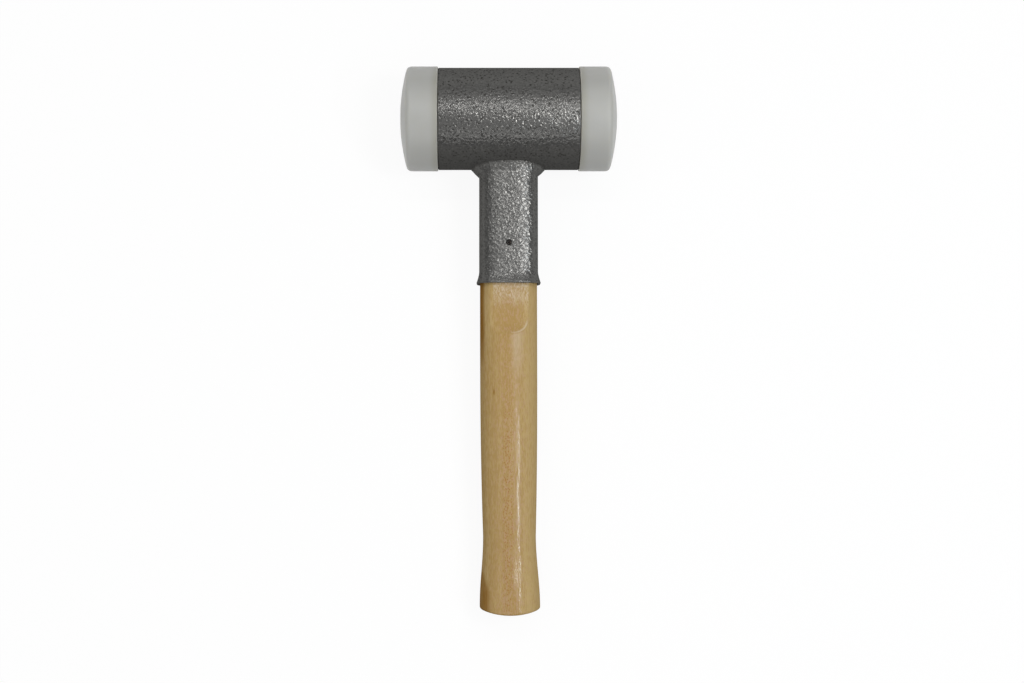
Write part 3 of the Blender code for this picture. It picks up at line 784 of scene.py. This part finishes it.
def add_piece(name, mesh, body, slot, node, spot=Matrix.Identity(4)):
    """A piece in the hammer's own frame, riding on a body in place of a node."""
    piece = add_object(name, mesh)
    if not mesh.materials:
        mesh.materials.append(finish_for(slot))
    piece.matrix_world = HAMMER @ spot
    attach(piece, body)
    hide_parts(node)


def mirrored(profile):
    return [(-along, radius) for along, radius in profile]


def add_pair(node, word, profile, slot):
    """A turned piece at the right end of the head, and its mirror image at the left end."""
    for side, line in (("right", profile), ("left", mirrored(profile))):
        name = "_".join((side, node, word))
        add_piece(name, turned_mesh(name, line), "hammer", slot, side + "_" + node)


def head_tube_profile(head):
    """The tube's wall, with both ends rounded outside and in."""
    edge, end = head.tube_edge, head.tube_half
    bore = head.tube_radius - head.tube_wall
    outer = arc((end - edge, head.tube_radius - edge), edge, math.pi / 2, 0.0)
    inner = arc((end - edge, bore + edge), edge, 0.0, -math.pi / 2)
    right = outer + inner
    return right + mirrored(reversed(right))


def face_profile(head):
    """From the middle of the crown over the edge, down the side and along the spigot."""
    edge = head.face_edge
    centre = head.face_end - math.sqrt(head.crown_radius**2 - head.land_radius**2)
    edge_out = head.face_radius - edge
    edge_up = math.sqrt((head.crown_radius - edge) ** 2 - edge_out**2)
    lean = math.atan2(edge_out, edge_up)
    start = math.asin(head.land_radius / head.crown_radius)
    crown = arc((centre, 0.0), head.crown_radius, start, lean, CROWN_STEPS)
    rounding = arc((centre + edge_up, edge_out), edge, lean, math.pi / 2)
    low = head.back_edge
    back = arc((head.face_seat + low, head.face_radius - low), low, math.pi / 2, math.pi)
    bore = head.tube_radius - head.tube_wall - head.spigot_gap
    lead = head.spigot_lead
    return [
        (head.face_end, 0.0), *crown, *rounding[1:], *back, (head.face_seat, bore),
        (head.spigot_end + lead, bore), (head.spigot_end, bore - lead), (head.spigot_end, 0.0),
    ]


def cup_profile(head):
    """A pressed cup: flat bottom towards the shot, skirt towards the face."""
    low, high, radius = CUP_LOW.x, CUP_HIGH.x, CUP_HIGH.z
    sheet, bend = head.cup_sheet, head.cup_bend
    outer = sheet + bend
    inside = arc((low + outer, radius - outer), bend, math.pi, math.pi / 2)
    outside = arc((low + outer, radius - outer), outer, math.pi / 2, math.pi)
    return [(low + sheet, 0.0), *inside, (high, radius - sheet), (high, radius), *outside, (low, 0.0)]


def turns_round(steps):
    """Angles once round, none of them on an axis."""
    return [math.tau * (step + 0.5) / steps for step in range(steps)]


def oval_point(half_width, half_depth, squareness, turn):
    """A point of a superellipse: squareness 2 is an ellipse, more flattens its sides."""
    across, deep = math.cos(turn), math.sin(turn)
    power = 2 / squareness
    return (
        half_width * math.copysign(abs(across) ** power, across),
        half_depth * math.copysign(abs(deep) ** power, deep),
    )


def socket_ring(socket, reach_at, offset):
    """A ring of the socket, offset out of its outside. reach_at gives the reach at a depth."""
    half_width, half_depth = socket.width / 2 + offset, socket.depth / 2 + offset
    ring = []
    for turn in turns_round(OVAL_STEPS):
        x, z = oval_point(half_width, half_depth, socket.squareness, turn)
        ring.append((x, -reach_at(z), z))
    return ring


def bore_offset(socket, share):
    """How far the bore lies out of the socket's outside, at a share of the bell mouth's length."""
    mouth = socket.mouth_half - socket.width / 2
    return -socket.wall + (mouth + socket.wall) * share**socket.flare_power


def socket_rings(socket, head):
    """Down the outside from the saddle, round the lip of the bell mouth and up the bore."""
    lip_start = socket.rim_reach - socket.lip
    flare_start = lip_start - socket.flare
    spread = socket.rim_half - socket.width / 2

    def saddle(z):
        return math.sqrt((head.tube_radius - socket.saddle_sink) ** 2 - z * z)

    def level(reach):
        return lambda z: reach

    def fall(share):
        return lambda z: saddle(z) + (flare_start - saddle(z)) * share

    def flared(share, offset):
        return socket_ring(socket, level(flare_start + socket.flare * share), offset)

    shares = [i / SOCKET_STEPS for i in range(SOCKET_STEPS + 1)]
    outside = [socket_ring(socket, fall(share), 0.0) for share in shares]
    flare_shares = [i / FLARE_STEPS for i in range(1, FLARE_STEPS + 1)]
    outside += [flared(share, spread * share**socket.flare_power) for share in flare_shares]
    for along, out in arc((0.0, 0.0), 1.0, 0.0, math.pi / 2)[1:]:
        drawn = (1 - along) * socket.lip * socket.lip_draw
        outside.append(socket_ring(socket, level(lip_start + socket.lip * out), spread - drawn))
    inside = [socket_ring(socket, level(socket.rim_reach - socket.mouth_rise), bore_offset(socket, 1.0))]
    inside += [flared(share, bore_offset(socket, share)) for share in reversed([0.0, *flare_shares[:-1]])]
    inside.append(socket_ring(socket, saddle, -socket.wall))
    return outside + inside


def drill(name, profile, socket, steps):
    """A drill of (height, radius) points on the pin's line, front to back."""
    mesh = turned_mesh(name, profile, axis=(0.0, 0.0, 1.0), steps=steps)
    mesh.transform(Matrix.Translation((0.0, -socket.pin_reach, 0.0)))
    return mesh


def socket_drill(socket):
    """Through front and back, flared where the paint rounds the hole's edges."""
    face = socket.depth / 2
    radius, flare = socket.hole_radius, socket.hole_flare
    top = face + 4 * flare
    half = [*arc((face - flare, radius + flare), flare, -math.pi / 2, 0.0), (top, radius + flare)]
    profile = [(-top, 0.0), *mirrored(reversed(half)), *half, (top, 0.0)]
    return drill("pin_hole_drill", profile, socket, HOLE_STEPS)


def tenon_drill(socket):
    top, radius = socket.depth, socket.hole_radius
    profile = [(-top, 0.0), (-top, radius), (top, radius), (top, 0.0)]
    return drill("handle_drill", profile, socket, TENON_HOLE_STEPS)


def weld_ring(socket, head, turn):
    """The bead's outline at one turn round the neck, sunk a little into the tube and the socket."""
    left = (1 - math.cos(turn)) / 2
    leg = socket.right_leg + (socket.left_leg - socket.right_leg) * left
    side_drop = socket.right_drop + (socket.left_drop - socket.right_drop) * left
    drop = socket.front_drop + (side_drop - socket.front_drop) * math.cos(turn) ** 2
    sunk = socket.weld_sink
    half_width, half_depth = socket.width / 2, socket.depth / 2
    root = Vector(oval_point(half_width - sunk, half_depth - sunk, socket.squareness, turn))
    edge = Vector(oval_point(half_width, half_depth, socket.squareness, turn))
    toe_depth = half_depth + socket.front_leg
    toe = Vector(oval_point(half_width + leg, toe_depth, socket.toe_squareness, turn))

    def on_tube(spot, depth):
        reach = math.sqrt(max((head.tube_radius - depth) ** 2 - spot.y**2, 0.0))
        return Vector((spot.x, -reach, spot.y))

    out = (toe - edge).normalized()
    outward = Vector((out.x, 0.0, out.y))
    start = on_tube(toe, 0.0)
    heel = on_tube(edge, 0.0) - Vector((0.0, drop, 0.0))
    bulge = (outward - Vector((0.0, 1.0, 0.0))).normalized()
    points = [on_tube(root, 4 * sunk), on_tube(toe + out * 0.3 * sunk, sunk)]
    crown = socket.weld_crown * (1 + 2 * math.sin(turn) ** 2)
    for i in range(BEAD_STEPS + 1):
        share = i / BEAD_STEPS
        spot = start.lerp(heel, share)
        waver = noise.noise(spot * BEAD_LUMPS) + 0.5 * noise.noise(spot * BEAD_RIPPLES)
        swell = 4 * share * (1 - share)
        points.append(spot + bulge * swell * (crown + socket.weld_waver * waver))
    points.append(Vector((root.x, heel.y - sunk, root.y)))
    return points


def eased(share):
    return (1 - math.cos(math.pi * share)) / 2


def soft_least(first, second, softness):
    """The lesser of two values, with the corner between them eased."""
    overlap = max(softness - abs(first - second), 0.0) / softness
    return min(first, second) - overlap * overlap * softness / 4


class HandleForm:
    """The handle as a radius at each reach and turn: the least of its blank, cheeks and tenon."""

    def __init__(self, handle, socket):
        self.handle = handle
        self.socket = socket
        self.edge_reach = self.end_reach(handle.butt_width / 2, 0.0)
        self.waist_reach = self.edge_reach - handle.swell
        self.taper_start = self.waist_reach - handle.taper
        cut = (handle.grip_depth - handle.cheek_thickness) / 2
        run = math.sqrt(2 * handle.runout_radius * cut - cut * cut)
        self.cheek_end = socket.rim_reach + handle.cheek_length
        self.runout_start = self.cheek_end - run

    def end_reach(self, x, z):
        """Reach of the butt's end, domed from side to side and almost flat from front to back."""
        handle = self.handle
        fall = x * x / handle.end_radius + z * z / handle.end_depth_radius
        return handle.butt_reach - fall / 2

    def half_size(self, reach, grip, waist, butt):
        """Straight, drawn in to the waist, then swelled to the butt."""
        if reach <= self.taper_start:
            return grip / 2
        if reach <= self.waist_reach:
            share = (reach - self.taper_start) / self.handle.taper
            return (grip - (grip - waist) * share**self.handle.taper_power) / 2
        share = min((reach - self.waist_reach) / self.handle.swell, 1.0)
        return (waist + (butt - waist) * eased(share)) / 2

    def cheek_height(self, reach):
        """Height of the planed cheek over the handle's line, or None beyond its end."""
        near = self.handle.cheek_thickness / 2
        past = reach - self.runout_start
        if past <= 0:
            return near
        radius = self.handle.runout_radius
        if past >= radius:
            return None
        return near + radius - math.sqrt(radius * radius - past * past)

    def blank(self, reach, turn):
        """Radius of the oval blank, a little uneven from shaping by hand."""
        handle = self.handle
        across, deep = math.cos(turn), math.sin(turn)
        half_width = self.half_size(reach, handle.grip_width, handle.waist_width, handle.butt_width)
        half_depth = self.half_size(reach, handle.grip_depth, handle.waist_depth, handle.butt_depth)
        oval = ((across / half_width) ** 2 + (deep / half_depth) ** 2) ** -0.5
        spot = Vector((across * GRIP_LUMPS_AROUND, deep * GRIP_LUMPS_AROUND, reach * GRIP_LUMPS))
        return oval + handle.unevenness * noise.noise(spot) * min(abs(deep) * 2, 1.0)

    def planed(self, blank, reach, turn):
        """The blank's radius with its cheeks planed, and a burr where the right of one runs out."""
        handle = self.handle
        height = self.cheek_height(reach)
        across, facing = math.cos(turn + handle.cheek_turn), abs(math.sin(turn + handle.cheek_turn))
        if height is None or facing <= LEAST_FACING:
            return blank
        cut = height / facing
        right, left = (min(max(4 * part, 0.0), 1.0) for part in (across, -across))
        edge = math.exp(-(((cut - blank) / handle.edge_softness - BURR_MIDDLE) / BURR_SPREAD) ** 2)
        running_out = min(max(reach - self.runout_start, 0.0) / handle.runout_radius * 4, 1.0)
        burr = handle.burr * edge * right * running_out
        return soft_least(blank, cut, handle.edge_softness * (1 + 5 * left)) + burr

    def tenon(self, reach, turn):
        """Radius of the tenon, a gap inside the socket's bore."""
        socket = self.socket
        start = socket.rim_reach - socket.lip - socket.flare
        share = min(max((reach - start) / socket.flare, 0.0), 1.0)
        offset = bore_offset(socket, share) - self.handle.tenon_gap
        across = abs(math.cos(turn)) / (socket.width / 2 + offset)
        deep = abs(math.sin(turn)) / (socket.depth / 2 + offset)
        return (across**socket.squareness + deep**socket.squareness) ** (-1 / socket.squareness)

    def radius(self, reach, turn):
        least = self.planed(self.blank(reach, turn), reach, turn)
        if reach > self.socket.rim_reach:
            return least
        return min(least, self.tenon(reach, turn))

    def swept(self, x, reach, z):
        """A point of the handle, moved sideways as far as its reach is swept."""
        handle = self.handle
        share = max(reach - self.socket.rim_reach, 0.0) / (handle.butt_reach - self.socket.rim_reach)
        return (x + handle.sweep * share * share, -reach, z)

    def section(self, reach):
        """The points across the handle at a reach, before the sweep."""
        turns = turns_round(OVAL_STEPS)
        radii = [self.radius(reach, turn) for turn in turns]
        return [(r * math.cos(t), r * math.sin(t)) for r, t in zip(radii, turns)]

    def ring(self, reach):
        """A ring across the handle. Below the waist it bends towards the line of the butt's edge."""
        points = []
        share = max(reach - self.waist_reach, 0.0) / self.handle.swell
        for x, z in self.section(reach):
            bend = (self.end_reach(x, z) - self.handle.butt_edge - self.edge_reach) * share
            points.append(self.swept(x, reach + bend, z))
        return points

    def butt_rings(self):
        """The rounded edge and the domed end, each ring a smaller copy of the last full section."""
        handle = self.handle
        full = self.section(self.edge_reach)
        half = handle.butt_width / 2
        edge = handle.butt_edge
        rounding = arc((half - edge, edge), edge, 0.0, -math.pi / 2)[1:]
        flat = [((half - edge) * (1 - i / BUTT_STEPS), 0.0) for i in range(1, BUTT_STEPS)]
        rings = []
        for across, short in rounding + flat:
            scaled = [(x * across / half, z * across / half) for x, z in full]
            rings.append([self.swept(x, self.end_reach(x, z) - short, z) for x, z in scaled])
        return rings

    def rings(self):
        """Rings from the tenon's top to the butt, closest together where a cheek runs out."""
        rim = self.socket.rim_reach
        # Where a stretch of the handle starts, and how many rings it has
        stops = [
            (self.handle.tenon_reach, 6), (rim - MOUTH_ZONE, 18), (rim, 30), (self.runout_start, 44),
            (self.cheek_end + CHEEK_MARGIN, 60), (self.waist_reach, 28), (self.edge_reach, 1),
        ]
        reaches = []
        for (low, count), (high, _) in zip(stops, stops[1:]):
            reaches += [low + (high - low) * i / count for i in range(count)]
        reaches.append(self.edge_reach)
        return [self.ring(reach) for reach in reaches] + self.butt_rings()


def pin_mesh(socket):
    """A sleeve of spring steel with a slot down one side."""
    outer, inner = socket.pin_radius, socket.pin_radius - socket.pin_wall
    gap = math.asin(socket.pin_slot / 2 / outer)
    turns = [-math.pi / 2 + gap + (math.tau - 2 * gap) * i / PIN_STEPS for i in range(PIN_STEPS + 1)]
    outline = [(outer * math.cos(t), outer * math.sin(t)) for t in turns]
    outline += [(inner * math.cos(t), inner * math.sin(t)) for t in reversed(turns)]
    half, lead = socket.pin_half, socket.pin_lead
    levels = [(-half, lead), (lead - half, 0.0), (half - lead, 0.0), (half, lead)]
    rings = []
    for height, inset in levels:
        shrink = 1 - inset / outer * 0.5
        rings.append([(x * shrink, y * shrink - socket.pin_reach, height) for x, y in outline])
    return loft_mesh("socket_pin_sleeve", rings)


def shot_mesh(radius):
    """One ball of cast shot: nearly round, with shallow lumps."""
    bm = bmesh.new()
    bmesh.ops.create_icosphere(bm, subdivisions=SHOT_FINENESS, radius=radius)
    for vertex in bm.verts:
        lump = noise.noise(vertex.co * SHOT_LUMPS)
        vertex.co *= 1 - SHOT_LUMP_DEPTH * abs(lump)
    return mesh_from(bm, "shot_ball")


class HAMMER_OT_head_tube(bpy.types.Operator):
    """Build the painted steel tube of the head"""

    bl_idname = "hammer.head_tube"
    bl_label = "Head tube"

    def execute(self, context):
        profile = head_tube_profile(context.scene.hammer_head)
        mesh = turned_mesh("head_tube_skin", profile, closed=True)
        add_piece("head_tube_skin", mesh, "hammer", "hammertone_paint", "head_tube")
        return {"FINISHED"}


class HAMMER_OT_striking_faces(bpy.types.Operator):
    """Turn the two nylon striking faces"""

    bl_idname = "hammer.striking_faces"
    bl_label = "Striking faces"

    def execute(self, context):
        add_pair("face", "nylon", face_profile(context.scene.hammer_head), "nylon")
        return {"FINISHED"}


class HAMMER_OT_handle_socket(bpy.types.Operator):
    """Build the flattened socket with its bell mouth and its pin hole"""

    bl_idname = "hammer.handle_socket"
    bl_label = "Handle socket"

    def execute(self, context):
        socket = context.scene.hammer_socket
        rings = socket_rings(socket, context.scene.hammer_head)
        mesh = carved(loft_mesh("handle_socket_skin", rings, around=True), socket_drill(socket))
        add_piece("handle_socket_skin", mesh, "hammer", "hammertone_paint", "handle_socket")
        return {"FINISHED"}


class HAMMER_OT_neck_weld(bpy.types.Operator):
    """Lay the weld bead round the neck"""

    bl_idname = "hammer.neck_weld"
    bl_label = "Neck weld"

    def execute(self, context):
        socket, head = context.scene.hammer_socket, context.scene.hammer_head
        rings = [weld_ring(socket, head, turn) for turn in turns_round(WELD_STEPS)]
        mesh = loft_mesh("neck_weld_bead", rings, around=True)
        add_piece("neck_weld_bead", mesh, "hammer", "hammertone_paint", "neck_weld")
        return {"FINISHED"}


class HAMMER_OT_handle(bpy.types.Operator):
    """Shape the wooden handle, with its planed cheeks, waist and swelled butt"""

    bl_idname = "hammer.handle"
    bl_label = "Handle"

    def execute(self, context):
        socket = context.scene.hammer_socket
        form = HandleForm(context.scene.hammer_handle, socket)
        mesh = carved(loft_mesh("handle_wood", form.rings()), tenon_drill(socket))
        add_piece("handle_wood", mesh, "hammer", "varnished_wood", "handle")
        return {"FINISHED"}


class HAMMER_OT_socket_pin(bpy.types.Operator):
    """Drive the slotted spring pin through the socket"""

    bl_idname = "hammer.socket_pin"
    bl_label = "Socket pin"

    def execute(self, context):
        mesh = pin_mesh(context.scene.hammer_socket)
        add_piece("socket_pin_sleeve", mesh, "hammer", "black_spring_steel", "socket_pin")
        return {"FINISHED"}


class HAMMER_OT_bulkheads(bpy.types.Operator):
    """Press the two cups that close the shot chamber"""

    bl_idname = "hammer.bulkheads"
    bl_label = "Bulkheads"

    def execute(self, context):
        add_pair("bulkhead", "cup", cup_profile(context.scene.hammer_head), "plain_steel")
        return {"FINISHED"}


class HAMMER_OT_shot(bpy.types.Operator):
    """Fill the head with loose steel shot"""

    bl_idname = "hammer.shot"
    bl_label = "Shot charge"

    def execute(self, context):
        nodes = sorted(name for name in frame["nodes"] if name.startswith("shot_ball"))
        low, high = own_box(nodes[0])
        mesh = shot_mesh((high.x - low.x) / 2)
        for count, node in enumerate(nodes):
            low, high = own_box(node)
            turn = Matrix.Rotation(count * SHOT_TURN, 4, SHOT_AXIS)
            spot = Matrix.Translation((low + high) / 2) @ turn
            add_piece(node + "_steel", mesh, "shot_charge", "plain_steel", node, spot)
        return {"FINISHED"}


def floor_finish(stage):
    """Pale floor that shows white to the camera and in reflections, and still takes a shadow."""
    floor = Finish("pale_floor")
    path = floor.node("ShaderNodeLightPath")
    glossy, through = path.out(3), path.out(6)
    seen = floor.greater(floor.greater(path, glossy), through)
    matt = floor.node("ShaderNodeBsdfDiffuse", None, {"Color": stage.floor})
    pale = floor.node("ShaderNodeBsdfDiffuse", None, {"Color": stage.backdrop})
    white = floor.node("ShaderNodeEmission", None, {"Strength": 1.0})
    lit = floor.node("ShaderNodeMixShader", None, {0: stage.backdrop_share, 1: pale, 2: white})
    mixed = floor.node("ShaderNodeMixShader", None, {0: seen, 1: matt, 2: lit})
    floor.feed(floor.tree.nodes["Material Output"].inputs["Surface"], mixed)
    return floor.material


def add_floor(stage):
    bm = bmesh.new()
    bmesh.ops.create_grid(bm, x_segments=2, y_segments=2, size=FLOOR_HALF)
    floor = add_object("bench_top", mesh_from(bm, "bench_top"))
    floor.location.z = CAD_BOX[0].z - FLOOR_GAP
    floor.data.materials.append(floor_finish(stage))


def light_sky(stage):
    """A soft sky: pale along the horizon, dim above it and brightest overhead."""
    world = bpy.data.worlds.new("studio")
    bpy.context.scene.world = world
    world.use_nodes = True
    sky = Nodes(world.node_tree)
    spot = sky.node("ShaderNodeTexCoord")
    rise = abs(sky.parts(spot)[2])
    overhead = sky.step(rise, 0.45, 0.95)
    horizon = sky.fade(rise, 0.02, 0.06)
    glow = stage.sky_low + (stage.sky_high - stage.sky_low) * overhead + (1 - stage.sky_low) * horizon
    background = sky.tree.nodes["Background"]
    sky.feed(background.inputs["Color"], (1.0, 1.0, 1.0))
    sky.feed(background.inputs["Strength"], glow)


def view_matrix(centre):
    """The camera's frame at a centre on the hammer: it looks a little up the handle."""
    return HAMMER @ Matrix.Translation(centre) @ Matrix.Rotation(VIEW_PITCH, 4, "X")


def add_lamp(name, place, target, size, power):
    """A rectangular lamp, placed and aimed as seen by the camera round the middle of the head."""
    data = bpy.data.lights.new(name, "AREA")
    data.shape = "RECTANGLE"
    data.size, data.size_y = size
    data.energy = power
    lamp = add_object(name, data)
    aim = Vector(target) - Vector(place)
    turn = aim.to_track_quat("-Z", "Y").to_matrix().to_4x4()
    lamp.matrix_world = view_matrix((0.0, 0.0, 0.0)) @ Matrix.Translation(place) @ turn
    return lamp


def add_camera(stage):
    data = bpy.data.cameras.new("view")
    data.sensor_width = SENSOR_WIDTH
    data.lens = stage.lens
    data.shift_x = (PHOTO_WIDTH / 2 - VIEW_COLUMN) / PHOTO_WIDTH
    camera = add_object("view", data)
    camera.matrix_world = view_matrix(VIEW_CENTRE) @ Matrix.Translation((0.0, 0.0, stage.distance))
    bpy.context.scene.camera = camera


class HAMMER_OT_stage(bpy.types.Operator):
    """Set the floor, the light and the camera"""

    bl_idname = "hammer.stage"
    bl_label = "Stage"

    def execute(self, context):
        stage = context.scene.hammer_stage
        context.scene.view_settings.view_transform = "Standard"
        add_floor(stage)
        light_sky(stage)
        lamps = {name: add_lamp(name, *LAMPS[name], getattr(stage, name + "_power")) for name in LAMPS}
        lamps["lamp"].data.color = stage.lamp_tint
        lamps["fill"].visible_glossy = False
        add_camera(stage)
        return {"FINISHED"}


class HAMMER_PT_panel(bpy.types.Panel):
    """Lists the hammer's pieces, sizes and finishes"""

    bl_idname = "HAMMER_PT_panel"
    bl_label = "Dead blow hammer"
    bl_space_type = "VIEW_3D"
    bl_region_type = "UI"
    bl_category = "Hammer"

    def draw(self, context):
        for piece in PIECES:
            self.layout.operator(piece.bl_idname)
        for name in SETTINGS:
            group = getattr(context.scene, name)
            box = self.layout.box()
            for key in group.__annotations__:
                box.prop(group, key)


SETTINGS = {
    "hammer_head": HeadSizes,
    "hammer_socket": SocketSizes,
    "hammer_handle": HandleSizes,
    "hammer_finishes": Finishes,
    "hammer_stage": StageSettings,
}
PIECES = (
    HAMMER_OT_head_tube,
    HAMMER_OT_striking_faces,
    HAMMER_OT_handle_socket,
    HAMMER_OT_neck_weld,
    HAMMER_OT_handle,
    HAMMER_OT_socket_pin,
    HAMMER_OT_bulkheads,
    HAMMER_OT_shot,
    HAMMER_OT_stage,
)


def register():
    for cls in (*SETTINGS.values(), *PIECES, HAMMER_PT_panel):
        bpy.utils.register_class(cls)
    for name, group in SETTINGS.items():
        setattr(bpy.types.Scene, name, PointerProperty(type=group))


def unregister():
    for name in SETTINGS:
        delattr(bpy.types.Scene, name)
    for cls in (HAMMER_PT_panel, *reversed(PIECES), *SETTINGS.values()):
        bpy.utils.unregister_class(cls)


def main():
    for thing in list(bpy.data.objects):
        if thing.type in ("CAMERA", "LIGHT"):
            bpy.data.objects.remove(thing)
    register()
    bpy.ops.hammer.head_tube()
    bpy.ops.hammer.striking_faces()
    bpy.ops.hammer.handle_socket()
    bpy.ops.hammer.neck_weld()
    bpy.ops.hammer.handle()
    bpy.ops.hammer.socket_pin()
    bpy.ops.hammer.bulkheads()
    bpy.ops.hammer.shot()
    bpy.ops.hammer.stage()


if __name__ == "__main__":
    main()
